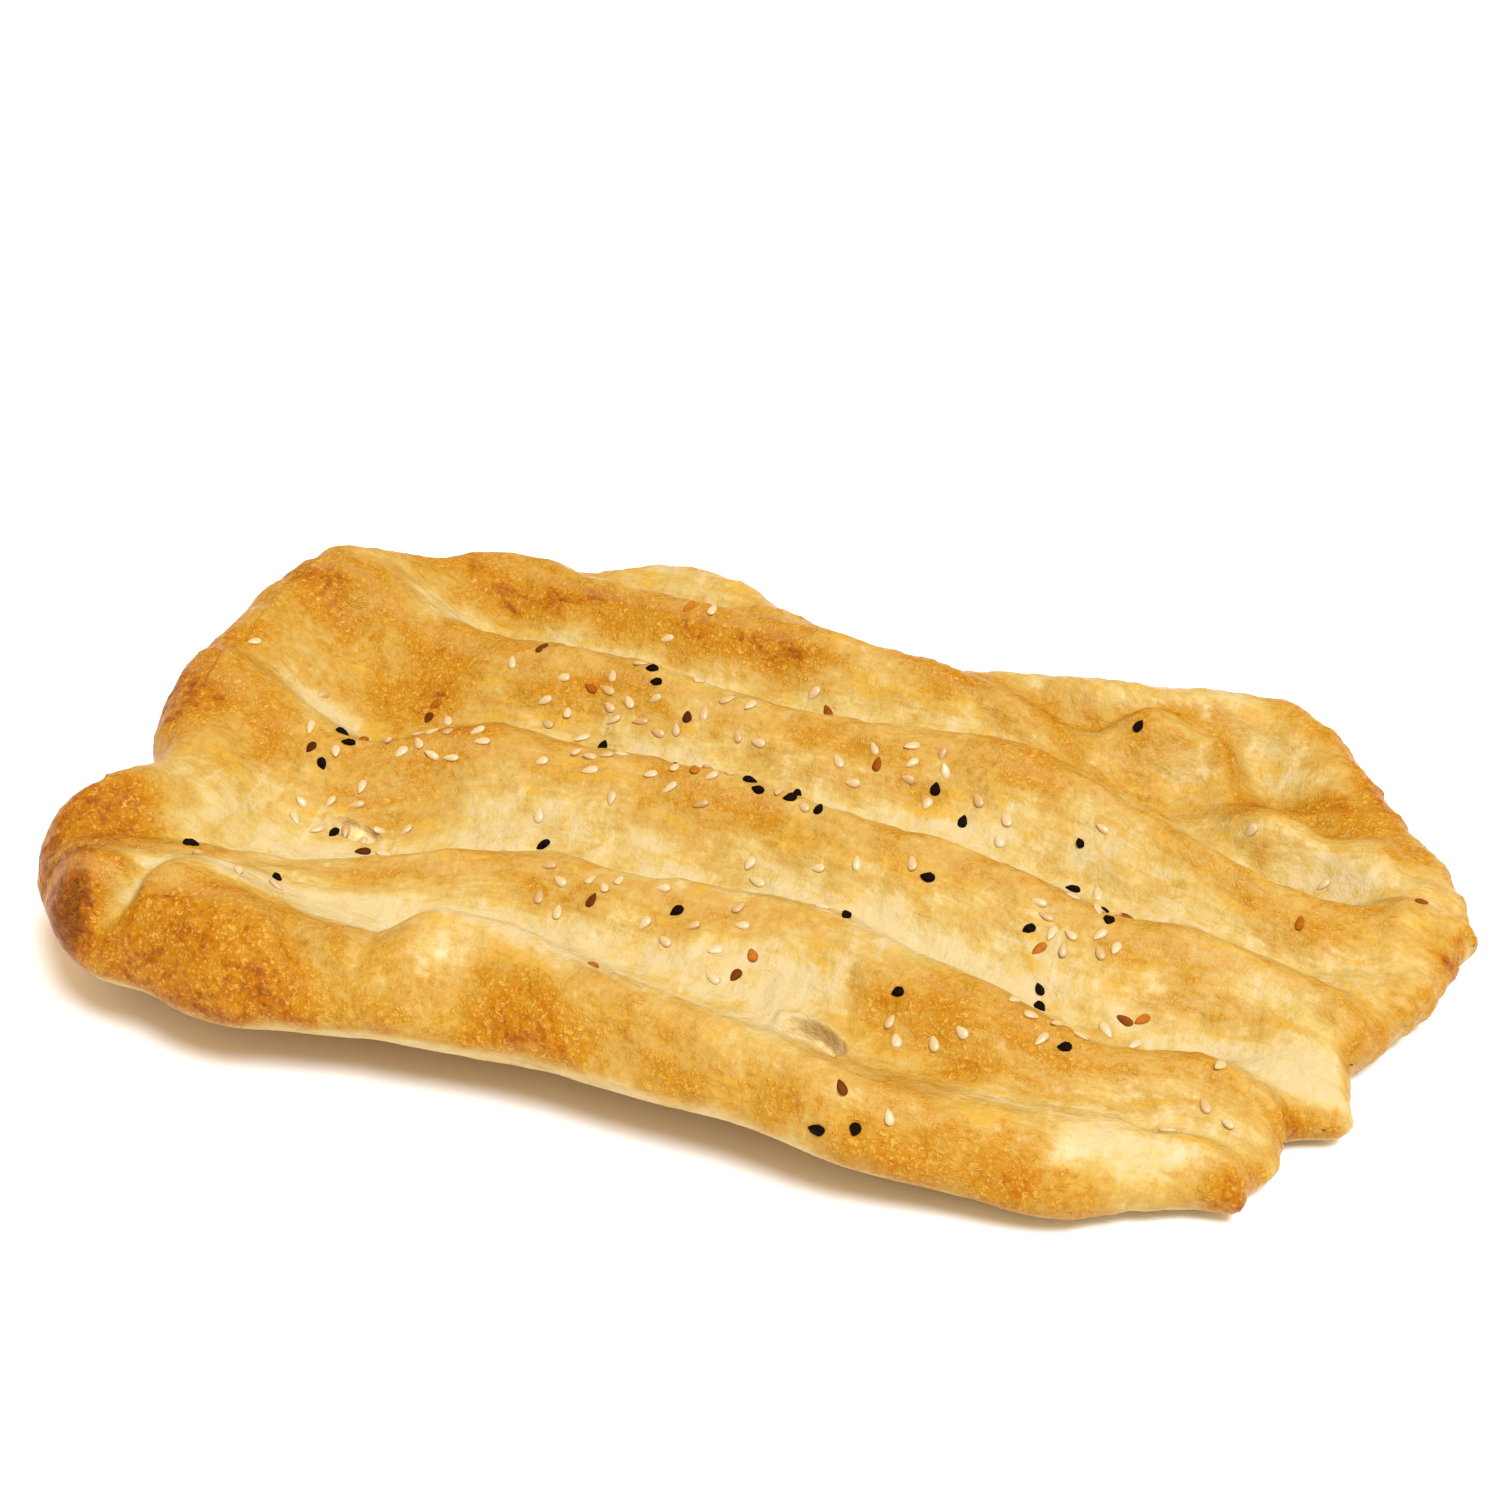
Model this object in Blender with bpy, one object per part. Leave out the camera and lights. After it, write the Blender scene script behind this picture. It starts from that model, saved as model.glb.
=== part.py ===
"""Barbari bread, a small Persian flatbread with five finger-pressed lengthwise ridges and scattered seeds.

Frame: +X runs along the bread, -Y is its front edge, +Z is up. The origin is under the middle of its box.
Tables below are in millimetres, the scene is in metres.
"""
import math

import bmesh
import bpy
import numpy as np
from mathutils import Matrix, Vector
from mathutils.bvhtree import BVHTree
from mathutils.kdtree import KDTree

MM = 0.001
NAME = "barbari_bread"

# Edge seen from above (x, y), from the far right corner anticlockwise.
EDGE = (
    (132, 21), (129, 32), (121, 44), (110, 55), (104, 65), (97, 73), (84, 79), (70, 78), (50, 71), (34, 71),
    (17, 68), (0, 71), (-14, 75), (-24, 79), (-35, 86), (-48, 90), (-60, 88), (-69, 85), (-77, 83), (-88, 84),
    (-99, 79), (-111, 70), (-121, 54), (-128, 35), (-131, 16), (-130, 2), (-125, -14), (-120, -28), (-126, -38),
    (-128, -50), (-124, -62), (-121, -71), (-114, -78), (-104, -79), (-94, -81), (-86, -87), (-76, -90),
    (-66, -87), (-57, -81), (-40, -79), (-20, -80), (0, -82), (20, -84), (38, -84), (60, -82), (74, -79),
    (88, -71), (98, -67), (104, -66), (104, -61), (108, -57), (110, -43), (116, -40), (117, -27), (121, -14),
    (127, -3), (130, 8),
)

# Thickness of the pressed valleys, in the middle and at the thin right end.
FLOOR = 11.5
FLOOR_RIGHT = 7.0
THINS_FROM, THINS_TO = 30, 115

# The edge is rounded over this far in, less at the right end and along the back.
ROLL = 10.5
ROLL_RIGHT = 6.5
ROLL_BACK = 9.0
ROLL_SHRINKS = (40, 120)

# The front left edge and the left tip curl clear of the table.
LIFT = 9.0
LIFT_ALONG = (95, 10)
LIFT_FRONT = (-30, -82)
LIFT_TIP = (-70, -128)
LIFT_TIP_SHARE = 0.85

# It stands on these four low points, flat between them and rising gently past them.
FEET = ((-65, -20), (92, -50), (100, 50), (-60, 72))
PAST_FEET_SLOPE = 0.025

# Ridges left between the finger furrows: x, y of the crest, rise over the valley, front and back half width.
RIDGES = {
    "front_roll": (
        (-54, -68, 0, 9, 9), (-47, -65, 9, 10, 9), (-36, -62, 11, 11, 9), (-14, -67, 9.5, 11, 9),
        (8, -71, 8, 11, 9), (30, -75, 7, 11, 9), (50, -75, 6.5, 10, 9), (72, -71, 6, 10, 8),
        (90, -64, 5, 9, 7), (104, -63, 3, 8, 6),
    ),
    "second": (
        (-126, -71, 4, 12, 8), (-110, -63, 8, 12, 9), (-90, -53, 10, 12, 9), (-64, -43, 11, 13, 9),
        (-44, -35, 12, 14, 9), (-10, -34, 12, 15, 9), (18, -34, 12, 15, 9), (38, -41, 12, 14, 9),
        (58, -46, 11, 13, 9), (72, -49, 10, 12, 8), (92, -44, 9, 12, 8), (108, -48, 6, 9, 7),
    ),
    "third": (
        (-134, 7, 7, 12, 8), (-114, 2, 9.5, 12, 8), (-100, -3, 9, 12, 8), (-88, -6, 8, 13, 9),
        (-68, 2, 11, 15, 9), (-40, 2, 12, 16, 9), (0, 0, 12, 16, 9), (24, -5, 12, 16, 9), (46, -7, 11, 15, 9),
        (68, -13, 10, 14, 9), (88, -12, 10, 13, 8), (104, -15, 9, 12, 7), (118, -21, 7, 10, 7),
    ),
    "fourth": (
        (-124, 44, 5, 12, 9), (-104, 45, 9, 14, 9), (-88, 40, 10, 15, 9), (-70, 36, 11, 16, 9),
        (-50, 35, 12, 16, 9), (-26, 30, 12, 16, 9), (0, 28, 12, 16, 9), (34, 29, 12, 16, 9),
        (56, 26, 11, 15, 9), (72, 18, 11, 14, 9), (90, 11, 10, 13, 9), (102, 9, 9, 12, 8), (120, 11, 6, 12, 8),
    ),
    "fifth": (
        (-118, 58, 4, 12, 9), (-102, 67, 6, 13, 9), (-84, 70, 9, 14, 9), (-64, 66, 11, 15, 9),
        (-40, 62, 12, 15, 9), (-16, 59, 12, 15, 8), (16, 55, 11, 15, 8), (36, 50, 9, 13, 8), (50, 43, 4, 11, 8),
        (60, 40, 0, 10, 8),
    ),
}
RIDGE_FADE = (-8, 2)

# Single bumps and pits: x, y, long and short radius, turn in degrees, rise.
LUMPS = {
    "front_left_lobe": (-80, -73, 26, 13, -6, 11),
    "left_lobe": (-112, -45, 18, 10, 8, 3),
    "back_right_knuckle": (65, 53, 14, 8, 10, 11),
    "right_knuckle": (90, 34, 12, 8, -15, 9),
    "right_end_knuckle": (109, 32, 10, 7, -5, 8),
    "right_corner": (122, 18, 12, 9, -50, 5),
    "back_left_blister": (-109, 40, 8, 6, 20, 3),
    "lobe_dent": (-58, -75, 8, 4, -20, -2),
    "torn_blister": (27, -62, 6.5, 3.5, -18, -5),
}

# Raised rim where a furrow stops short of the edge: direction from the middle in degrees, rise, run-out.
RIM = (
    (-180, 8, 18), (-172, 8, 18), (-165, 10, 16), (-158, 14, 15), (-152, 8, 14), (-144, 2, 12), (-130, 0, 12),
    (-30, 0, 10), (-20, 3, 12), (0, 5, 12), (12, 6, 12), (30, 8, 9), (45, 11, 9), (58, 9, 9), (75, 7, 10),
    (90, 7, 12), (105, 8, 12), (118, 9, 15), (132, 6, 14), (145, 9, 16), (160, 11, 18), (172, 9, 18), (180, 8, 18),
)
RIM_INSET = 8.0

# Grid that is pressed into the bread's form, and the share of its rings that goes to the rounded edge.
RINGS = 60
EDGE_RINGS = 0.2
EDGE_SHARE = 0.1
CRUST_TRIANGLES = 5200

# Seeds: length, width, height.
SEED_SIZES = {"white_sesame": (3.2, 1.9, 1.3), "brown_sesame": (3.2, 1.9, 1.3), "nigella": (2.7, 1.7, 1.5)}
SEED_SUNK = 0.15
SEED_GAP = 2.9
SEED_SIDES = 6
SEED_RINGS = 3
SPRINKLE_SEED = 7
# Where the sprinkling hand let them fall: x, y, half length, half width, then how many of each kind.
SPRINKLES = (
    (-73, -1, 14, 4, 12, 2, 0), (-88, -9, 8, 7, 3, 1, 3), (-80, -22, 12, 5, 10, 1, 1), (-78, 20, 4, 3, 1, 2, 0),
    (-87, -57, 12, 5, 3, 0, 2), (-50, 24, 9, 9, 8, 1, 1), (-36, 28, 8, 9, 8, 0, 2), (-66, 34, 3, 3, 1, 1, 0),
    (-20, 24, 10, 6, 5, 1, 0), (-37, -1, 12, 6, 8, 0, 0), (-15, 3, 11, 9, 6, 1, 4), (6, 0, 7, 3, 3, 0, 3),
    (18, 20, 12, 6, 9, 1, 1), (38, 14, 6, 5, 3, 0, 1), (-45, -15, 4, 4, 1, 0, 1), (-24, -41, 10, 7, 7, 1, 0),
    (-3, -40, 10, 6, 7, 0, 1), (10, -18, 14, 7, 6, 0, 0), (20, -28, 4, 4, 1, 0, 1), (5, -47, 5, 5, 1, 2, 0),
    (34, -14, 4, 4, 1, 0, 1), (61, -5, 9, 10, 7, 1, 3), (63, -17, 9, 5, 6, 1, 1), (62, -31, 3, 3, 0, 0, 2),
    (75, -31, 4, 3, 2, 2, 0), (45, -52, 8, 5, 4, 0, 1), (66, -48, 8, 5, 6, 0, 1), (38, -79, 8, 4, 1, 1, 2),
    (-12, -64, 4, 3, 1, 1, 0), (59, 49, 3, 3, 0, 0, 1), (58, 16, 4, 3, 1, 0, 1), (-43, 57, 4, 4, 1, 1, 0),
    (-4, 42, 5, 5, 2, 1, 0), (101, 5, 3, 3, 0, 1, 0), (124, 15, 3, 3, 0, 1, 0), (96, -50, 9, 8, 4, 0, 0),
    (92, 30, 24, 14, 3, 0, 0), (-112, 28, 10, 16, 2, 0, 0), (-38, 64, 20, 8, 1, 0, 0),
)
KINDS = ("white_sesame", "brown_sesame", "nigella")


def along(stations, values, x):
    """Smooth curve through values given at rising stations."""
    t = np.asarray(stations, float)
    v = np.asarray(values, float)
    slope = np.gradient(v, t)
    i = np.clip(np.searchsorted(t, x) - 1, 0, len(t) - 2)
    step = t[i + 1] - t[i]
    s = np.clip((x - t[i]) / step, 0, 1)
    start = (1 + 2 * s) * (1 - s) ** 2 * v[i] + s * (1 - s) ** 2 * step * slope[i]
    end = s * s * (3 - 2 * s) * v[i + 1] + s * s * (s - 1) * step * slope[i + 1]
    return start + end


def ease(span, x):
    """0 at the start of the span, 1 at its end."""
    t = np.clip((x - span[0]) / (span[1] - span[0]), 0, 1)
    return t * t * (3 - 2 * t)


def edge_radius(angle):
    """Distance from the middle to the edge in each direction."""
    x, y = np.array(EDGE, float).T
    turn = np.unwrap(np.arctan2(y, x))
    reach = np.hypot(x, y)
    turns = np.concatenate([turn - 2 * math.pi, turn, turn + 2 * math.pi])
    return along(turns, np.tile(reach, 3), angle)


def inset(x, y):
    """Distance in from the edge."""
    angle = np.linspace(-math.pi, math.pi, 1441)
    reach = edge_radius(angle)
    ring = np.stack([reach * np.cos(angle), reach * np.sin(angle)], 1)
    tree = KDTree(len(ring))
    for i, point in enumerate(ring):
        tree.insert((point[0], point[1], 0), i)
    tree.balance()
    near = np.array([tree.find((px, py, 0))[1] for px, py in zip(x, y)])
    here = np.stack([x, y], 1)
    best = np.full(len(x), np.inf)
    for a, b in ((near - 1, near), (near, (near + 1) % len(ring))):
        run = ring[b] - ring[a]
        length = np.maximum((run ** 2).sum(1), 1e-9)
        t = np.clip(((here - ring[a]) * run).sum(1) / length, 0, 1)
        best = np.minimum(best, np.hypot(*(here - ring[a] - run * t[:, None]).T))
    return best


def ridge_rise(rows, x, y):
    """Rise of one ridge, steeper on its back than on its front."""
    at, crest, rise, front, back = np.array(rows, float).T
    middle = along(at, crest, x)
    slope = (along(at, crest, x + 1) - along(at, crest, x - 1)) / 2
    off = (y - middle) / np.sqrt(1 + slope ** 2)
    width = np.where(off < 0, along(at, front, x), along(at, back, x))
    shown = ease((at[0] + RIDGE_FADE[0], at[0] + RIDGE_FADE[1]), x)
    shown = shown * ease((at[-1] - RIDGE_FADE[0], at[-1] - RIDGE_FADE[1]), x)
    return np.maximum(along(at, rise, x), 0) * shown * np.exp(-(off / width) ** 2)


def lump_rise(lump, x, y):
    """Rise of one oval bump."""
    cx, cy, long, short, turn, rise = lump
    c, s = math.cos(math.radians(turn)), math.sin(math.radians(turn))
    u = ((x - cx) * c + (y - cy) * s) / long
    v = ((y - cy) * c - (x - cx) * s) / short
    return rise * np.exp(-u * u - v * v)


def thickness(x, y, edge):
    """Dough over the underside: valley floor, ridges, bumps and raised rim."""
    floor = FLOOR + (FLOOR_RIGHT - FLOOR) * ease((THINS_FROM, THINS_TO), x)
    relief = sum(ridge_rise(rows, x, y) for rows in RIDGES.values())
    relief = relief + sum(lump_rise(lump, x, y) for lump in LUMPS.values())
    way, rise, run = zip(*RIM)
    side = np.degrees(np.arctan2(y, x))
    beyond = np.maximum(edge - RIM_INSET, 0) / along(way, run, side)
    rim = np.maximum(along(way, rise, side), 0) * np.exp(-beyond ** 2)
    both = (np.maximum(relief, 0) ** 3 + rim ** 3) ** (1 / 3)
    return floor + both + np.minimum(relief, 0)


def past_feet(x, y):
    """Distance outside the four-sided patch between the feet."""
    past = np.zeros(np.shape(x))
    for (ax, ay), (bx, by) in zip(FEET, FEET[1:] + FEET[:1]):
        outward = ((by - ay) * (x - ax) - (bx - ax) * (y - ay)) / math.hypot(bx - ax, by - ay)
        past = np.maximum(past, outward)
    return past


def lift(x, y):
    """Height of the underside over the table."""
    front = ease(LIFT_FRONT, y) * ease(LIFT_ALONG, x)
    tip = LIFT_TIP_SHARE * ease(LIFT_TIP, x)
    return np.maximum(LIFT * (1 - (1 - front) * (1 - tip)), PAST_FEET_SLOPE * past_feet(x, y))


def height(x, y, edge, side):
    """Height of the top (side 1) or the underside (side -1), meeting in a rounded edge."""
    roll = ROLL + (ROLL_RIGHT - ROLL) * ease(ROLL_SHRINKS, x)
    roll = np.where(y > 40, np.minimum(roll, ROLL_BACK), roll)
    inward = np.clip(1 - edge / roll, 0, 1)
    half = 0.5 * thickness(x, y, edge)
    return lift(x, y) + half + side * half * np.sqrt(1 - inward ** 2)


def press(bm, verts, side):
    """Press a flat 2 x 2 grid into the top or the underside of the bread."""
    u, v = np.array([vert.co.xy for vert in verts]).T
    ring = np.maximum(abs(u), abs(v))
    safe = np.where(ring > 0, ring, 1)
    sideways = np.where(u > 0, 0, math.pi) + math.pi / 4 * v / np.where(u == 0, safe, u)
    upright = np.where(v > 0, 0.5, -0.5) * math.pi - math.pi / 4 * u / np.where(v == 0, safe, v)
    angle = np.where(abs(u) >= abs(v), sideways, upright)
    inner = 1 - EDGE_RINGS
    share = np.clip((ring - inner) / EDGE_RINGS, 0, 1)
    share = 1 - EDGE_SHARE + EDGE_SHARE * np.sin(share * math.pi / 2)
    reach = np.where(ring < inner, ring / inner * (1 - EDGE_SHARE), share) * edge_radius(angle)
    x, y = reach * np.cos(angle), reach * np.sin(angle)
    edge = np.where(ring > 0.99999, 0, inset(x, y))
    z = height(x, y, edge, side)
    for vert, spot in zip(verts, np.stack([x, y, z], 1) * MM):
        vert.co = spot


def make_crust(material):
    """The bread without its seeds, as one closed skin."""
    bm = bmesh.new()
    for side in (1, -1):
        grid = bmesh.ops.create_grid(bm, x_segments=2 * RINGS, y_segments=2 * RINGS, size=1)
        press(bm, grid["verts"], side)
    bmesh.ops.remove_doubles(bm, verts=bm.verts, dist=0.00001)
    bmesh.ops.recalc_face_normals(bm, faces=bm.faces)
    low = Vector([min(v.co[i] for v in bm.verts) for i in range(3)])
    high = Vector([max(v.co[i] for v in bm.verts) for i in range(3)])
    shift = Vector((-(low.x + high.x) / 2, -(low.y + high.y) / 2, -low.z))
    bmesh.ops.translate(bm, verts=bm.verts, vec=shift)
    bmesh.ops.triangulate(bm, faces=bm.faces)
    mesh = bpy.data.meshes.new("crust")
    bm.to_mesh(mesh)
    bm.free()
    mesh.materials.append(material)
    crust = bpy.data.objects.new("crust", mesh)
    bpy.context.scene.collection.objects.link(crust)
    thin = crust.modifiers.new("fewer_faces", "DECIMATE")
    thin.ratio = CRUST_TRIANGLES / len(mesh.polygons)
    return settle(crust), shift / MM


def settle(obj):
    """Replace an object's mesh by what its modifiers make of it."""
    ready = obj.evaluated_get(bpy.context.evaluated_depsgraph_get())
    mesh = bpy.data.meshes.new_from_object(ready)
    old = obj.data
    obj.modifiers.clear()
    obj.data = mesh
    bpy.data.meshes.remove(old)
    return obj


def stand(crust, shift):
    """Put the four low points into the underside exactly."""
    bm = bmesh.new()
    bm.from_mesh(crust.data)
    for x, y in FEET:
        bm.faces.ensure_lookup_table()
        under = Vector(((x + shift.x) * MM, (y + shift.y) * MM, -1))
        _, _, face, _ = BVHTree.FromBMesh(bm).ray_cast(under, Vector((0, 0, 1)))
        foot = bmesh.ops.poke(bm, faces=[bm.faces[face]])["verts"][0]
        foot.co = (under.x, under.y, 0)
    bm.to_mesh(crust.data)
    bm.free()


def sprinkle():
    """Places of the seeds: kind, x, y and turn, no two closer than the gap."""
    rng = np.random.default_rng(SPRINKLE_SEED)
    seeds = []
    for cx, cy, long, short, *counts in SPRINKLES:
        for kind, count in zip(KINDS, counts):
            placed = 0
            while placed < count:
                x = cx + long * rng.uniform(-1, 1)
                y = cy + short * rng.uniform(-1, 1)
                turn = rng.uniform(0, math.pi)
                if all(math.hypot(x - s[1], y - s[2]) > SEED_GAP for s in seeds):
                    seeds.append((kind, x, y, turn))
                    placed += 1
    return seeds


def seed_mesh(size):
    """One seed, long in X."""
    bm = bmesh.new()
    bmesh.ops.create_uvsphere(bm, u_segments=SEED_SIDES, v_segments=SEED_RINGS, radius=0.5 * MM)
    bmesh.ops.rotate(bm, verts=bm.verts, matrix=Matrix.Rotation(math.pi / 2, 3, "Y"))
    bmesh.ops.scale(bm, verts=bm.verts, vec=size)
    mesh = bpy.data.meshes.new("seed")
    bm.to_mesh(mesh)
    bm.free()
    return mesh


def drop_seeds(crust, shift):
    """Lay every seed on the crust, a little sunk, flat to the surface."""
    heap = bpy.data.collections.new("seeds")
    bpy.context.scene.collection.children.link(heap)
    meshes = {kind: seed_mesh(size) for kind, size in SEED_SIZES.items()}
    bm = bmesh.new()
    bm.from_mesh(crust.data)
    skin = BVHTree.FromBMesh(bm)
    for kind, x, y, turn in sprinkle():
        start = Vector(((x + shift.x) * MM, (y + shift.y) * MM, 0.1))
        spot, normal, _, _ = skin.ray_cast(start, Vector((0, 0, -1)))
        if spot is None:
            continue
        seed = bpy.data.objects.new("seed", meshes[kind])
        sink = normal * SEED_SIZES[kind][2] * SEED_SUNK * MM
        flat = normal.to_track_quat("Z", "X").to_matrix().to_4x4()
        seed.matrix_world = Matrix.Translation(spot - sink) @ flat @ Matrix.Rotation(turn, 4, "Z")
        heap.objects.link(seed)
    bm.free()
    return heap


def fuse(crust, heap):
    """Join the seeds to the crust as one solid."""
    bpy.context.view_layer.update()
    join = crust.modifiers.new("seeds", "BOOLEAN")
    join.operation = "UNION"
    join.operand_type = "COLLECTION"
    join.collection = heap
    join.solver = "MANIFOLD"
    settle(crust)
    for seed in list(heap.objects):
        bpy.data.objects.remove(seed)
    bpy.data.collections.remove(heap)


def drop_scraps(mesh):
    """Keep the one closed body and remove any loose shell."""
    bm = bmesh.new()
    bm.from_mesh(mesh)
    bmesh.ops.remove_doubles(bm, verts=bm.verts, dist=0.000001)
    left = set(bm.verts)
    shells = []
    while left:
        shell, edge = set(), [left.pop()]
        while edge:
            vert = edge.pop()
            shell.add(vert)
            near = {link.other_vert(vert) for link in vert.link_edges} & left
            left -= near
            edge.extend(near)
        shells.append(shell)
    shells.sort(key=len)
    for shell in shells[:-1]:
        bmesh.ops.delete(bm, geom=list(shell), context="VERTS")
    bmesh.ops.triangulate(bm, faces=bm.faces)
    bm.to_mesh(mesh)
    bm.free()


def baked_crust():
    """Golden crust with a satin surface."""
    material = bpy.data.materials.new("baked_crust")
    material.use_nodes = True
    shader = material.node_tree.nodes["Principled BSDF"]
    shader.inputs["Base Color"].default_value = (0.80, 0.50, 0.20, 1)
    shader.inputs["Roughness"].default_value = 0.55
    shader.inputs["Metallic"].default_value = 0
    return material


def build():
    for obj in list(bpy.data.objects):
        bpy.data.objects.remove(obj)
    bread, shift = make_crust(baked_crust())
    stand(bread, shift)
    fuse(bread, drop_seeds(bread, shift))
    drop_scraps(bread.data)
    bread.name = "bread"
    bread.data.name = "bread"
    bread.data.shade_smooth()
    parts = bpy.data.collections.new(NAME)
    bpy.context.scene.collection.children.link(parts)
    for holder in list(bread.users_collection):
        holder.objects.unlink(bread)
    parts.objects.link(bread)


build()
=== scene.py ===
"""Barbari bread on a white table: baked crust, white and toasted sesame, nigella seed."""
import math

import bmesh
import bpy
import numpy as np
from mathutils import Matrix, Vector, noise
from mathutils.bvhtree import BVHTree
from mathutils.kdtree import KDTree


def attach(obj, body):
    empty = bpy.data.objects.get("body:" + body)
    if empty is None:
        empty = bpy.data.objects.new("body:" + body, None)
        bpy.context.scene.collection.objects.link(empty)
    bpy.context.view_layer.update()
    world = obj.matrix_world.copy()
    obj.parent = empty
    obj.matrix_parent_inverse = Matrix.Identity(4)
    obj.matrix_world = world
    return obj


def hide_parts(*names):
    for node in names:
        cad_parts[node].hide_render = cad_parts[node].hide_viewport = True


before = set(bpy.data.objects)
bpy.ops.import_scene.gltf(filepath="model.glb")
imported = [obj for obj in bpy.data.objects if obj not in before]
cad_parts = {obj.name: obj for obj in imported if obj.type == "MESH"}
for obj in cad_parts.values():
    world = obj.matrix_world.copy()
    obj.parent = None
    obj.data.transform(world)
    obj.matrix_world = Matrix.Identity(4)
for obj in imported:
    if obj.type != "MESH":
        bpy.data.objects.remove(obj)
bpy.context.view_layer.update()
MM = 0.001

# ----------------------------------------------------------------------------------------------------
# Crust. The real piece is one slab of wheat dough, pressed lengthwise with wet fingers, glazed with flour
# and baked on stone: ridges and ends golden to brown, furrows creamy, the lower edge pale. It is one
# closed skin, pressed from a fine grid into the solid's form, with folds, blisters and tears on top.

# Edge seen from above (x, y) in mm, from the far right corner anticlockwise. It fits the bread closer
# than the solid's edge does.
EDGE = (
    (132, 20), (127.5, 31), (120, 43), (111, 54), (104, 65), (96, 73), (84, 78), (70, 75), (50, 71),
    (34, 71), (17, 69), (0, 72), (-14, 76), (-24, 80), (-35, 87), (-48, 91), (-60, 89), (-69, 85),
    (-77, 82), (-87, 79), (-96, 72), (-108, 64), (-121, 52), (-128, 34), (-131, 16), (-131, 2),
    (-127, -14), (-121, -27), (-124, -38), (-127, -50), (-126, -61), (-120, -70), (-112, -78),
    (-104, -81), (-95, -82), (-86, -85), (-76, -86), (-66, -84), (-57, -82), (-40, -80), (-20, -79),
    (0, -81), (20, -82), (38, -84), (60, -81), (74, -79), (88, -71), (98, -67), (104, -66), (105, -61),
    (108, -56), (111, -43), (117, -41), (116, -27), (122, -14), (127, -3), (130, 8),
)
# From the zero of these numbers to the middle of the solid's box, which stands over the origin, in mm.
CENTER_X = -1.03
# Thickness of the pressed valleys in mm, in the middle and at the thin right end.
FLOOR = 11.5
FLOOR_RIGHT = 7.0
THINS = (30, 115)
# The edge is rounded over this far in, less at the right end and along the back.
ROLL = 10.5
ROLL_RIGHT = 6.5
ROLL_BACK = 9.0
BACK_FROM = 40
ROLL_SHRINKS = (40, 120)
# The front left edge and the left tip curl clear of the table.
LIFT = 9.0
LIFT_ALONG = (95, 10)
LIFT_FRONT = (-30, -82)
LIFT_TIP = (-70, -128)
LIFT_TIP_SHARE = 0.85
FEET = ((-65, -20), (92, -50), (100, 50), (-60, 72))
PAST_FEET_SLOPE = 0.025
# Ridges between the finger furrows, front to back: x, y of the crest, rise, front and back half width.
RIDGES = {
    "front_roll": (
        (-54, -68, 0, 9, 9), (-47, -65, 9, 10, 9), (-36, -62, 11, 11, 9), (-14, -67, 9.5, 11, 9),
        (8, -71, 8, 11, 9), (30, -75, 7, 11, 9), (50, -75, 6.5, 10, 9), (72, -71, 6, 10, 8),
        (90, -64, 5, 9, 7), (104, -63, 3, 8, 6),
    ),
    "second": (
        (-126, -71, 4, 12, 8), (-110, -63, 8, 12, 9), (-90, -53, 10, 12, 9), (-64, -43, 11, 13, 9),
        (-44, -35, 12, 14, 9), (-10, -34, 12, 15, 9), (18, -34, 12, 15, 9), (38, -41, 12, 14, 9),
        (58, -46, 11, 13, 9), (72, -49, 10, 12, 8), (92, -44, 9, 12, 8), (108, -48, 6, 9, 7),
    ),
    "third": (
        (-134, 7, 7, 12, 8), (-114, 2, 9.5, 12, 8), (-100, -3, 9, 12, 8), (-88, -6, 8, 13, 9),
        (-68, 2, 11, 15, 9), (-40, 2, 12, 16, 9), (0, 0, 12, 16, 9), (24, -5, 12, 16, 9),
        (46, -7, 11, 15, 9), (68, -13, 10, 14, 9), (88, -12, 10, 13, 8), (104, -15, 9, 12, 7),
        (118, -21, 7, 10, 7),
    ),
    "fourth": (
        (-124, 44, 5, 12, 9), (-104, 45, 9, 14, 9), (-88, 40, 10, 15, 9), (-70, 36, 11, 16, 9),
        (-50, 35, 12, 16, 9), (-26, 30, 12, 16, 9), (0, 28, 12, 16, 9), (34, 29, 12, 16, 9),
        (56, 26, 11, 15, 9), (72, 18, 11, 14, 9), (90, 11, 10, 13, 9), (102, 9, 9, 12, 8),
        (120, 11, 6, 12, 8),
    ),
    "fifth": (
        (-118, 58, 4, 12, 9), (-102, 67, 6, 13, 9), (-84, 70, 9, 14, 9), (-64, 66, 11, 15, 9),
        (-40, 62, 12, 15, 9), (-16, 59, 12, 15, 8), (16, 55, 11, 15, 8), (36, 50, 9, 13, 8),
        (50, 43, 4, 11, 8), (60, 40, 0, 10, 8),
    ),
}
RIDGE_FADE = (-8, 2)
STEEP_BACK = 2.8
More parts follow.
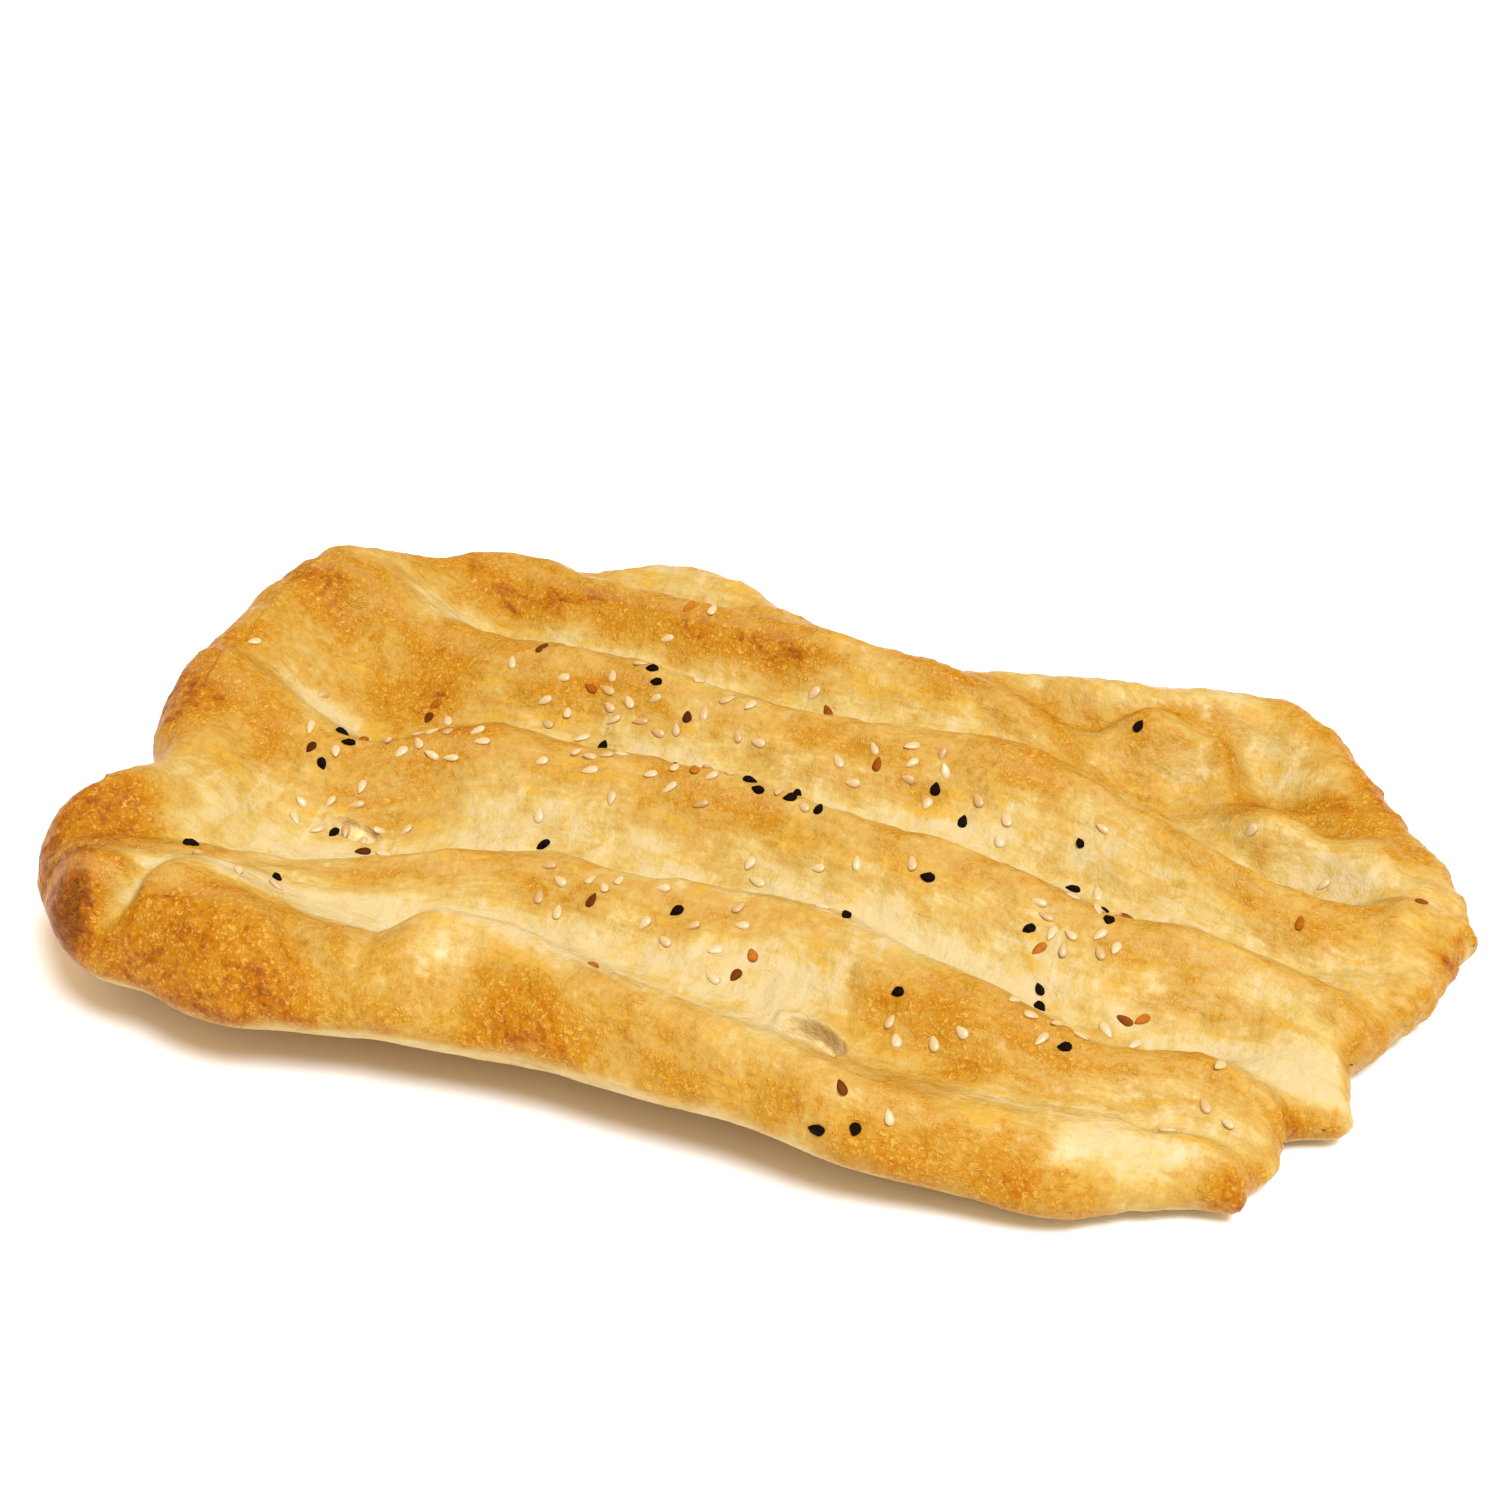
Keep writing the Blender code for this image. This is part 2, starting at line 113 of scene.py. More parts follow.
# Single bumps and pits: x, y, long and short radius, turn in degrees, rise.
LUMPS = {
    "front_left_lobe": (-80, -73, 26, 13, -6, 11),
    "left_lobe": (-112, -45, 18, 10, 8, 3),
    "back_right_knuckle": (65, 53, 14, 8, 10, 11),
    "right_knuckle": (90, 34, 12, 8, -15, 9),
    "right_end_knuckle": (109, 32, 10, 7, -5, 8),
    "right_corner": (122, 18, 12, 9, -50, 5),
    "back_left_blister": (-109, 40, 8, 6, 20, 3),
    "lobe_dent": (-60, -77, 9, 3, -35, -2),
    "lobe_bridge": (-55, -69, 7, 8, -10, 3.5),
    "lobe_crease": (-67, -74, 9, 2, -48, -2),
    "nose": (-112, -73, 7, 9, 12, 4),
    "nose_fold": (-101.5, -71.5, 3, 9, -28, -5),
    "lobe_shoulder": (-92, -66, 12, 6, 12, 2),
    "second_saddle": (-84, -50, 18, 8, 15, -2.5),
    "blister_left": (-107, 39, 6, 3.6, -10, 3.5),
    "knuckle_lip": (63, 58, 10, 3, 28, 3.5),
    "knuckle_turn": (77, 54, 3, 8, 14, 3.5),
    "knuckle_hollow": (69, 47, 5, 5, 0, -3),
    "knuckle_furrow": (84, 60, 5, 11, 20, -1.4),
    "end_lip": (99, 44, 11, 3, -8, 3),
    "end_hollow": (92, 22, 9, 5, 0, -2.5),
    "end_dimple": (104, 36, 6, 3.5, 10, -2),
    "end_knob": (112, 24, 6, 5, 0, 2),
    "tip_curl": (103, -63, 5, 4, 0, 1.5),
    "fold_hollow": (84, -57, 7, 3.5, -25, -2.5),
}
# Raised rim where a furrow stops short of the edge: direction from the middle in degrees, rise, run-out.
RIM = (
    (-180, 8, 18), (-172, 8, 18), (-165, 10, 16), (-158, 14, 15), (-152, 8, 14), (-144, 2, 12),
    (-130, 0, 12), (-30, 0, 10), (-20, 3, 12), (0, 5, 12), (12, 6, 12), (30, 8, 9), (45, 11, 9),
    (58, 9, 9), (75, 7, 10), (90, 7, 12), (105, 8, 12), (118, 8, 15), (132, 5, 14), (145, 8, 16),
    (160, 11, 18), (172, 9, 18), (180, 8, 18),
)
RIM_INSET = 8.0
# Small nicks in the thin right edge, in mm.
NICKS = 1.1
NICK_SIZE = 26
NICKED_DEGREES = 38
# Torn skin: x, y, half length, half width, turn, depth.
TEARS = {"torn_blister": (26.5, -59.8, 7.0, 2.9, -23, 3.6), "small_slit": (-79, -22.5, 5.5, 1.8, -4, 1.6)}
# Grooves under the near lips of the tears, in the same terms.
LIP_GROOVES = ((25.6, -61.8, 5.6, 0.8, -21, 4.0), (-79, -24, 4.5, 0.8, -4, 1.0))

# Browning from one crest back over the valley to the next crest: share of the way, browning.
ACROSS = (
    (0, 0.42), (0.1, 0.41), (0.2, 0.36), (0.3, 0.26), (0.45, 0.21), (0.6, 0.28), (0.75, 0.36),
    (0.9, 0.44), (1, 0.41),
)
# Places baked browner than that: x, y, long and short radius, turn in degrees, how much.
BROWNER = (
    (-80, 59, 20, 6, 3, 0.28), (-40, 56, 16, 7, -10, 0.24), (-16, 52, 12, 6, -5, 0.28),
    (18, 54, 10, 5, 0, 0.16), (42, 54, 12, 6, -10, 0.12), (-110, 36, 10, 8, 20, 0.16),
    (-86, 20, 16, 9, 5, 0.3), (-54, 26, 16, 5, -4, 0.18), (-121, 18, 7, 9, 0, 0.14),
    (-122, -8, 8, 6, 10, 0.24), (-64, 7, 14, 8, 0, 0.18), (-115, -48, 10, 11, 0, 0.3),
    (-119, -66, 6, 5, 0, 0.16), (-112, -73, 6, 8, 12, 0.16), (-64, -79, 8, 1.6, -48, 0.2),
    (-73, -85, 10, 5, 0, 0.24), (-88, -80, 8, 6, 0, 0.1), (8, 24, 12, 6, 0, 0.18),
    (46, -53, 20, 8, -8, 0.34), (104, -66, 4, 3, 0, 0.4), (110, -45, 3, 3, 0, 0.34),
    (64, -4, 34, 6, -6, 0.16), (42, 34, 12, 10, 0, 0.14), (86, 41, 6, 6, 0, 0.34),
    (63, 59, 9, 2.6, 28, 0.38), (77, 54, 2.6, 6, 14, 0.28), (100, 47, 10, 3, -8, 0.22),
    (104, 3, 6, 6, 0, 0.14), (112, 34, 9, 7, 0, 0.12), (92, 68, 16, 4.5, -30, 0.32),
    (110, 50, 9, 4, -55, 0.3), (60, 47, 5, 4, 0, 0.18), (-69, -85, 8, 5, 0, 0.14),
    (78, -40, 12, 6, 0, 0.14), (-16, -6, 20, 5, 0, 0.12), (-62, -30, 10, 6, 20, 0.16),
    (-30, -42, 20, 5, 0, 0.1), (98, -28, 6, 5, 40, 0.12), (-66, -66, 12, 5, -10, 0.1),
    (-40, 52, 26, 5, -8, 0.1), (54, 14, 12, 6, -20, 0.1), (-5, -17, 12, 4, -4, 0.1),
    (118, 30, 6, 8, 0, 0.12), (-22, 55, 8, 5, 0, 0.14), (-122, -10, 5, 6, 0, 0.14),
    (50, 27, 10, 5, 0, 0.12), (60, -60.5, 24, 3.5, 4, 0.16),
)
# Places left paler, in the same terms.
PALER = (
    (-84, -38, 20, 14, 15, 0.34), (-101, 8, 11, 7, -30, 0.26), (-38, -56, 24, 8, 3, 0.26),
    (16, -50, 18, 10, 0, 0.24), (40, -32, 12, 7, 0, 0.16), (48, 18, 18, 7, -10, 0.12),
    (-48, -10, 12, 8, 0, 0.14), (28, -24, 16, 9, 0, 0.1), (85, 59, 4, 9, 20, 0.08),
    (94, 54, 8, 5, -30, 0.1), (70, 48, 4, 4, 0, 0.16), (-50, 82, 14, 6, 0, 0.14),
    (86, -67, 20, 6, 12, 0.26), (108, -34, 9, 9, 0, 0.2), (-88, 47, 14, 6, 0, 0.2),
    (101, 22, 9, 6, 0, 0.24), (20, 6, 18, 5, 0, 0.12), (-112, 68, 18, 9, 50, 0.22),
    (66, 74, 26, 5, 0, 0.2), (-82, -62, 14, 5, 10, 0.08), (62, 11, 9, 6, 0, 0.16),
    (-22, -60, 36, 8, 0, 0.22), (-80, -61, 20, 5, 8, 0.06), (0, -32, 46, 8, -2, 0.1),
    (42, -37, 14, 8, -10, 0.16), (0, 5, 34, 6, -4, 0.09), (-97, 3, 9, 6, -20, 0.14),
    (-55, 72, 26, 6, -6, 0.12), (45, 67, 14, 5, -8, 0.1), (90, 75, 12, 4, -20, 0.1),
    (-95, 46, 12, 7, -10, 0.1), (100, -18, 10, 5, 0, 0.12), (-101, -71.5, 2.6, 7, -28, 0.44),
    (-61, -74, 6, 3, -35, 0.04), (-54, 68, 12, 5, -6, 0.14), (79, 40, 4, 9, 10, 0.22),
    (70, 69, 22, 4, 0, 0.16), (-103, -46, 7, 6, 0, 0.24), (-88, -23, 9, 6, 0, 0.16),
    (-50, -58, 7, 4, 0, 0.1), (-20, -11, 40, 6, 0, 0.07), (102, 18, 4, 8, 0, 0.16),
)
# In front of the first ridge and behind the last one: browning at the crest and further out.
FRONT_BAKE = (0.43, 0.51)
BACK_BAKE = (0.45, 0.35)
# The left end lay hotter; the rim all round and the ragged right edge are browner too.
LEFT_BROWNS = (-30, -125)
LEFT_BROWNING = 0.17
RIM_BROWNING = 0.07
RIGHT_BROWNS = (84, 104)
RIGHT_BROWNING = 0.22
# Browning is drawn away from its mean by this contrast, up to a limit.
MEAN_BAKE = 0.36
BAKE_CONTRAST = 1.6
MOST_BAKED = 0.92
# The scorched left tip: x, y, long and short radius, turn in degrees, how much.
DARK_TIP = (-112, -75, 7, 8, 15, 0.34)
# Top of the raw lower edge as a share of the height, and what changes it at the right and at the front.
RAW_TOP = 0.34
RAW_TOP_RIGHT = -0.08
RAW_TOP_FRONT = 0.22
RAW_BLUR = (-0.22, 0.08)
# The underside that lay on the stone: its share of the height, its browning and how much that varies.
STONE = (0.05, 0.005)
STONE_BAKE = 0.58
STONE_VARIES = 0.16

# Rings of the grid that is pressed into the top; the underside has half as many. The outer fifth of them
# lies in the outer tenth of the way to the edge, where the skin turns down.
RINGS = 136
EDGE_RINGS = 0.2
EDGE_SHARE = 0.1
# The edge is followed through this many points, a quarter of a degree apart.
EDGE_POINTS = 1441
# Vertices closer than this in mm are joined, along the seam of the top and the underside.
SEAM = 0.02
# The grid is finer within this reach of a tear and above this height in mm.
FINE_REACH = 1.7
FINE_ABOVE = 9
# Folds and colours follow the ridges: one ridge counts for this many mm across.
RIDGE_STEP = 35
# A ridge this high in mm is a full crest.
FULL_CREST = 11
# Shares of the height at which the top's skin begins and is whole.
TOP_SKIN = (0.35, 0.75)


def along(stations, values, x):
    """Smooth curve through values given at rising stations."""
    t = np.asarray(stations, float)
    v = np.asarray(values, float)
    slope = np.gradient(v, t)
    i = np.clip(np.searchsorted(t, x) - 1, 0, len(t) - 2)
    step = t[i + 1] - t[i]
    s = np.clip((x - t[i]) / step, 0, 1)
    start = (1 + 2 * s) * (1 - s) ** 2 * v[i] + s * (1 - s) ** 2 * step * slope[i]
    end = s * s * (3 - 2 * s) * v[i + 1] + s * s * (s - 1) * step * slope[i + 1]
    return start + end


def ease(span, x):
    """0 at the start of the span, 1 at its end."""
    t = np.clip((x - span[0]) / (span[1] - span[0]), 0, 1)
    return t * t * (3 - 2 * t)


def edge_radius(angle):
    """Distance from the middle to the edge in each direction."""
    x, y = np.array(EDGE, float).T
    turn = np.unwrap(np.arctan2(y, x))
    turns = np.concatenate([turn - 2 * math.pi, turn, turn + 2 * math.pi])
    ragged = NICKS * np.exp(-(np.degrees(angle) / NICKED_DEGREES) ** 2)
    ring = [Vector((NICK_SIZE * math.cos(a), NICK_SIZE * math.sin(a), 0)) for a in np.asarray(angle)]
    nick = [noise.fractal(spot, 0.6, 2.0, 4) for spot in ring]
    return along(turns, np.tile(np.hypot(x, y), 3), angle) + ragged * np.array(nick)


def inset(x, y):
    """Distance in from the edge, in mm."""
    angle = np.linspace(-math.pi, math.pi, EDGE_POINTS)
    reach = edge_radius(angle)
    ring = np.stack([reach * np.cos(angle), reach * np.sin(angle)], 1)
    tree = KDTree(len(ring))
    for i, point in enumerate(ring):
        tree.insert((point[0], point[1], 0), i)
    tree.balance()
    near = np.array([tree.find((px, py, 0))[1] for px, py in zip(x, y)])
    here = np.stack([x, y], 1)
    best = np.full(len(x), np.inf)
    for a, b in ((near - 1, near), (near, (near + 1) % len(ring))):
        run = ring[b] - ring[a]
        length = np.maximum((run ** 2).sum(1), 1e-9)
        t = np.clip(((here - ring[a]) * run).sum(1) / length, 0, 1)
        best = np.minimum(best, np.hypot(*(here - ring[a] - run * t[:, None]).T))
    return best


def ridge_rise(rows, x, y):
    """Rise of one ridge, steeper on its back than on its front."""
    at, crest, rise, front, back = np.array(rows, float).T
    slope = (along(at, crest, x + 1) - along(at, crest, x - 1)) / 2
    off = (y - along(at, crest, x)) / np.sqrt(1 + slope ** 2)
    width = np.where(off < 0, along(at, front, x), along(at, back, x))
    shown = ease((at[0] + RIDGE_FADE[0], at[0] + RIDGE_FADE[1]), x)
    shown = shown * ease((at[-1] - RIDGE_FADE[0], at[-1] - RIDGE_FADE[1]), x)
    steep = np.where(off < 0, 2, STEEP_BACK)
    return np.maximum(along(at, rise, x), 0) * shown * np.exp(-(abs(off) / width) ** steep)


def reach_of(spot, x, y):
    """How far out a point is in an oval, 0 in its middle and 1 on its outline."""
    cx, cy, long, short, turn = spot[:5]
    c, s = math.cos(math.radians(turn)), math.sin(math.radians(turn))
    return np.hypot(((x - cx) * c + (y - cy) * s) / long, ((y - cy) * c - (x - cx) * s) / short)


def ovals(spots, x, y):
    """Sum of soft ovals, each with its height or strength last."""
    return sum(spot[5] * np.exp(-reach_of(spot, x, y) ** 2) for spot in spots)


def relief(x, y):
    """Rise of ridges and bumps over the valleys."""
    return sum(ridge_rise(rows, x, y) for rows in RIDGES.values()) + ovals(LUMPS.values(), x, y)


def thickness(x, y, edge):
    """Dough over the underside: valley floor, ridges, bumps and raised rim."""
    floor = FLOOR + (FLOOR_RIGHT - FLOOR) * ease(THINS, x)
    rise = relief(x, y)
    way, high, run = zip(*RIM)
    side = np.degrees(np.arctan2(y, x))
    beyond = np.maximum(edge - RIM_INSET, 0) / along(way, run, side)
    rim = np.maximum(along(way, high, side), 0) * np.exp(-beyond ** 2)
    return floor + (np.maximum(rise, 0) ** 3 + rim ** 3) ** (1 / 3) + np.minimum(rise, 0)


def lift(x, y):
    """Height of the underside over the table."""
    front = ease(LIFT_FRONT, y) * ease(LIFT_ALONG, x)
    tip = LIFT_TIP_SHARE * ease(LIFT_TIP, x)
    past = np.zeros(np.shape(x))
    for (ax, ay), (bx, by) in zip(FEET, FEET[1:] + FEET[:1]):
        outward = ((by - ay) * (x - ax) - (bx - ax) * (y - ay)) / math.hypot(bx - ax, by - ay)
        past = np.maximum(past, outward)
    return np.maximum(LIFT * (1 - (1 - front) * (1 - tip)), PAST_FEET_SLOPE * past)


def press(verts, side):
    """Press a flat 2 x 2 grid into the top or the underside of the bread, in mm."""
    u, v = np.array([vert.co.xy for vert in verts]).T
    ring = np.maximum(abs(u), abs(v))
    safe = np.where(ring > 0, ring, 1)
    sideways = np.where(u > 0, 0, math.pi) + math.pi / 4 * v / np.where(u == 0, safe, u)
    upright = np.where(v > 0, 0.5, -0.5) * math.pi - math.pi / 4 * u / np.where(v == 0, safe, v)
    angle = np.where(abs(u) >= abs(v), sideways, upright)
    inner = 1 - EDGE_RINGS
    share = np.clip((ring - inner) / EDGE_RINGS, 0, 1)
    share = 1 - EDGE_SHARE + EDGE_SHARE * np.sin(share * math.pi / 2)
    reach = np.where(ring < inner, ring / inner * (1 - EDGE_SHARE), share) * edge_radius(angle)
    x, y = reach * np.cos(angle), reach * np.sin(angle)
    edge = np.where(np.isclose(ring, 1), 0, inset(x, y))
    roll = ROLL + (ROLL_RIGHT - ROLL) * ease(ROLL_SHRINKS, x)
    roll = np.where(y > BACK_FROM, np.minimum(roll, ROLL_BACK), roll)
    inward = np.clip(1 - edge / roll, 0, 1)
    half = 0.5 * thickness(x, y, edge)
    z = lift(x, y) + half + side * half * np.sqrt(1 - inward ** 2)
    for vert, spot in zip(verts, np.stack([x, y, z], 1)):
        vert.co = spot


def rough(points, size, depth=2):
    """Smooth unevenness of about -1 to 1 with lumps of the given sizes."""
    return np.array([noise.fractal(Vector(p), 1.0, 2.0, depth) for p in points / np.array(size, float)])


def strand(x, y):
    """Position across the bread, counted in ridges from the front one, so that folds can follow them."""
    middles = [along([row[0] for row in rows], [row[1] for row in rows], x) for rows in RIDGES.values()]
    count = np.minimum((y - middles[0]) / RIDGE_STEP, 0) + np.maximum((y - middles[-1]) / RIDGE_STEP, 0)
    for low, high in zip(middles, middles[1:]):
        count = count + np.clip((y - low) / (high - low), 0, 1)
    return count


bm = bmesh.new()
upper = bmesh.ops.create_grid(bm, x_segments=2 * RINGS, y_segments=2 * RINGS, size=1)["verts"]
press(upper, 1)
upper_count = len(upper)
lower = bmesh.ops.create_grid(bm, x_segments=RINGS, y_segments=RINGS, size=1)["verts"]
lower_rim = {edge for vert in lower for edge in vert.link_edges if edge.is_boundary}
bmesh.ops.subdivide_edges(bm, edges=list(lower_rim), cuts=1)
bm.verts.ensure_lookup_table()
press(bm.verts[upper_count:], -1)
bmesh.ops.remove_doubles(bm, verts=bm.verts, dist=SEAM)
# The grid is cut finer where the dough is torn, so that the lips come out sharp.
x, y, z = np.array([vert.co for vert in bm.verts]).T
tear_reach = np.min([reach_of(spot, x, y) for spot in TEARS.values()], axis=0)
tear_reach = np.where(z < FINE_ABOVE, np.inf, tear_reach)
bm.verts.index_update()
finer = [edge for edge in bm.edges if all(tear_reach[vert.index] < FINE_REACH for vert in edge.verts)]
bmesh.ops.subdivide_edges(bm, edges=finer, cuts=2, use_grid_fill=True)
bmesh.ops.recalc_face_normals(bm, faces=bm.faces)

points = np.array([vert.co for vert in bm.verts])
x, y, z = points.T
edge = inset(x, y)
count = strand(x, y)
rise = relief(x, y)
tall = thickness(x, y, edge)
level = (z - lift(x, y)) / tall
top = ease(TOP_SKIN, level)
crest = np.clip(rise / FULL_CREST, 0, 1)
flow = np.stack([x, RIDGE_STEP * count, z], 1)

# Browning of every point, before the finer unevenness that the material adds.
last = len(RIDGES) - 1
share = np.where((count > 0) & (count < last), count % 1, 1)
bake = np.interp(share, *np.array(ACROSS).T)
in_front = FRONT_BAKE[0] + (FRONT_BAKE[1] - FRONT_BAKE[0]) * ease((0, -0.25), count)
behind = BACK_BAKE[0] + (BACK_BAKE[1] - BACK_BAKE[0]) * ease((last + 0.1, last + 0.5), count)
bake = np.where(count <= 0, in_front, bake)
bake = np.where(count >= last, behind, bake)
bake = bake + LEFT_BROWNING * ease(LEFT_BROWNS, x)
bake = bake + RIM_BROWNING * ease((10, 2), edge) * top
ragged = 0.7 + 0.9 * rough(points, (5, 5, 5))
bake = bake + RIGHT_BROWNING * ease((3.2, 0.6), edge) * ease(RIGHT_BROWNS, x) * ragged
bake = bake + ovals(BROWNER, x, y) - ovals(PALER, x, y)
bake = bake + 0.13 * rough(flow, (20, 12, 40)) + 0.10 * rough(flow + 70, (8, 6, 20))
bake = np.minimum(MEAN_BAKE + BAKE_CONTRAST * (bake - MEAN_BAKE), MOST_BAKED)
bake = bake + ovals((DARK_TIP,), x, y)

# Raw dough stays along the lower edge, and the tears show the crumb.
raw_top = RAW_TOP + RAW_TOP_RIGHT * ease((0, 60), x)
raw_top = raw_top + RAW_TOP_FRONT * np.exp(-((x + 15) / 50) ** 2) * (y < 0)
raw = 1 - ease(RAW_BLUR, level - raw_top + 0.10 * rough(points, (14, 14, 5)))
tears = [reach_of(spot, x, y) for spot in TEARS.values()]
torn = np.max([ease((1.02, 0.90), far) * top for far in tears], axis=0)

# The underside lay on the hot stone: evenly golden brown with a few scorched spots.
stone = ease(STONE, level)
raw = raw * (1 - stone)
bake = bake + (STONE_BAKE + STONE_VARIES * rough(points, (12, 12, 12)) - bake) * stone

# Height of the finer forms over the pressed shape, along the surface's normal, in mm.
folds = 1.1 * rough(flow, (30, 18, 60)) + 0.6 * rough(flow + 30, (12, 8, 30))
pebbles = 0.35 * rough(points, (5, 5, 5), 3)
skin = 0.10 * rough(flow + 50, (9, 2.6, 12)) * (0.2 + crest)
pulled = 0.10 * rough(flow + 90, (2.8, 16, 30)) * (1.2 - crest)
blisters = np.array([noise.voronoi(Vector(p))[0][0] for p in points / 2.6])
blisters = 0.22 * ease((0.42, 0.1), blisters) * ease((0.35, 0.65), bake)
near = ((count + 0.5) % 1 - 0.5) * RIDGE_STEP
lips = 1.1 * np.exp(-((near - 0.5) / 2.4) ** 2) * crest * (0.5 + 0.8 * rough(flow + 15, (14, 60, 60)))
creases = 0.12 * np.exp(-((near - 11 + 2 * rough(flow + 22, (18, 60, 60))) / 1.6) ** 2) * (1 - crest)
flank = 0.22 * rough(points, (7, 7, 3))
out = (folds + pebbles + skin + pulled + blisters + lips - creases) * top + flank * (1 - top)
for spot, far in zip(TEARS.values(), tears):
    out = out - spot[5] * ease((1.03, 0.66), far) * top
    out = out + 0.35 * np.exp(-((far - 1.15) / 0.16) ** 2) * top
for spot in LIP_GROOVES:
    out = out - spot[5] * np.exp(-reach_of(spot, x, y) ** 4) * top

bm.normal_update()
shift = Vector((CENTER_X, 0, -z.min()))
layers = {name: bm.verts.layers.float.new(name) for name in ("bake", "raw", "crest", "torn")}
grain = bm.verts.layers.float_vector.new("grain")
shown = {"bake": np.clip(bake, 0, 1.2), "raw": raw, "crest": crest * top, "torn": torn}
for i, (vert, move) in enumerate(zip(bm.verts, out)):
    for name, layer in layers.items():
        vert[layer] = shown[name][i]
    vert[grain] = flow[i]
    vert.co = (vert.co + vert.normal * move + shift) * MM
    vert.co.z = max(vert.co.z, 0)
bmesh.ops.triangulate(bm, faces=bm.faces)
crust_mesh = bpy.data.meshes.new("crust")
bm.to_mesh(crust_mesh)
crust_skin = BVHTree.FromBMesh(bm)
bm.free()
crust_mesh.shade_smooth()
crust = bpy.data.objects.new("crust", crust_mesh)
bpy.context.scene.collection.objects.link(crust)


def linear(code):
    """Hex colour as linear red, green, blue, alpha."""
    parts = [int(code[i:i + 2], 16) / 255 for i in (1, 3, 5)]
    return tuple(c / 12.92 if c <= 0.04045 else ((c + 0.055) / 1.055) ** 2.4 for c in parts) + (1,)


def add(tree, kind, inputs, **settings):
    """Add a shader node; each input is a value or another node's output."""
    node = tree.nodes.new("ShaderNode" + kind)
    for name, value in settings.items():
        setattr(node, name, value)
    for name, value in inputs.items():
        if isinstance(value, bpy.types.NodeSocket):
            tree.links.new(value, node.inputs[name])
        else:
            node.inputs[name].default_value = value
    return node


def ramp(tree, value, *stops):
    """Colour ramp through (place, hex colour) stops."""
    node = add(tree, "ValToRGB", {"Fac": value})
    marks = node.color_ramp.elements
    while len(marks) < len(stops):
        marks.new(0.5)
    for mark, (place, code) in zip(marks, sorted(stops)):
        mark.position = place
        mark.color = linear(code)
    return node.outputs["Color"]


def band(tree, value, low, high, to_low=0.0, to_high=1.0):
    """Remap a value smoothly from one span to another."""
    inputs = {"Value": value, "From Min": low, "From Max": high, "To Min": to_low, "To Max": to_high}
    return add(tree, "MapRange", inputs, interpolation_type="SMOOTHSTEP").outputs["Result"]


def calc(tree, what, *values):
    """One step of arithmetic."""
    return add(tree, "Math", dict(enumerate(values)), operation=what).outputs[0]


def blend(tree, how, share, a, b):
    """Mix two colours."""
    inputs = {0: share, 6: a, 7: b}
    return add(tree, "Mix", inputs, data_type="RGBA", blend_type=how).outputs[2]


def mottle(tree, place, size, detail=2.0, rough_share=0.5, warp=0.0):
    """Noise of 0 to 1 with lumps of the given sizes in the place's unit."""
    scaled = add(tree, "Mapping", {"Vector": place, "Scale": [1 / s for s in size]}).outputs[0]
    inputs = {"Vector": scaled, "Detail": detail, "Roughness": rough_share, "Distortion": warp}
    return add(tree, "TexNoise", {"Scale": 1.0, **inputs}).outputs[0]


def stored(tree, name, output="Fac"):
    """What the mesh stores for every vertex under a name."""
    return add(tree, "Attribute", {}, attribute_name=name).outputs[output]


def place_in_mm(tree):
    """Place on the object, in mm."""
    place = add(tree, "TexCoord", {}).outputs["Object"]
    return add(tree, "VectorMath", {0: place, "Scale": 1 / MM}, operation="SCALE").outputs[0]


def bumps(tree, height, strength, depth):
    """Normals of fine bumps, where a height of 1 stands for the depth in mm."""
    inputs = {"Strength": strength, "Distance": depth * MM, "Height": height}
    return add(tree, "Bump", inputs).outputs["Normal"]


def new_material(name):
    """Empty material with a Principled BSDF: its tree and its shader."""
    material = bpy.data.materials.new(name)
    material.use_nodes = True
    return material, material.node_tree, material.node_tree.nodes["Principled BSDF"]


# Baked wheat crust: satin glaze over dough that lets a little light in; colours from cream to dark brown.
baked, tree, shader = new_material("baked_crust")
bake = stored(tree, "bake")
raw = stored(tree, "raw")
crest = stored(tree, "crest")
torn = stored(tree, "torn")
flow = stored(tree, "grain", "Vector")
spot = place_in_mm(tree)

cloud = mottle(tree, flow, (15, 9, 16), 5.0, 0.55, 0.6)
fine = mottle(tree, spot, (1.6, 1.6, 1.6), 4.5, 0.65)
speck = mottle(tree, spot, (0.55, 0.55, 0.55), 1.0)
lines = mottle(tree, flow, (8, 1.0, 7), 3.0, 0.6, 0.4)
pulls = mottle(tree, flow, (2.6, 11, 12), 4.0, 0.6, 0.6)
patch = band(tree, mottle(tree, flow, (7, 4.5, 9), 4.0, 0.62, 0.9), 0.36, 0.64, -0.07, 0.07)
fleck = band(tree, mottle(tree, flow, (3.2, 2.0, 4), 3.0, 0.62, 0.6), 0.42, 0.66, -0.03, 0.08)
toast = calc(tree, "ADD", bake, calc(tree, "MULTIPLY", calc(tree, "SUBTRACT", cloud, 0.5), 0.68))
toast = calc(tree, "ADD", toast, calc(tree, "ADD", patch, fleck))
grainy = band(tree, bake, 0.18, 0.50, 0.28, 0.65)
grainy = calc(tree, "MULTIPLY", calc(tree, "SUBTRACT", fine, 0.5), grainy)
toast = calc(tree, "ADD", toast, grainy)
toast = calc(tree, "ADD", toast, calc(tree, "MULTIPLY", calc(tree, "SUBTRACT", lines, 0.5), 0.30))
toast = calc(tree, "ADD", toast, calc(tree, "MULTIPLY", calc(tree, "SUBTRACT", pulls, 0.5), -0.22))
toast = calc(tree, "SUBTRACT", toast, calc(tree, "MULTIPLY", raw, 0.55))
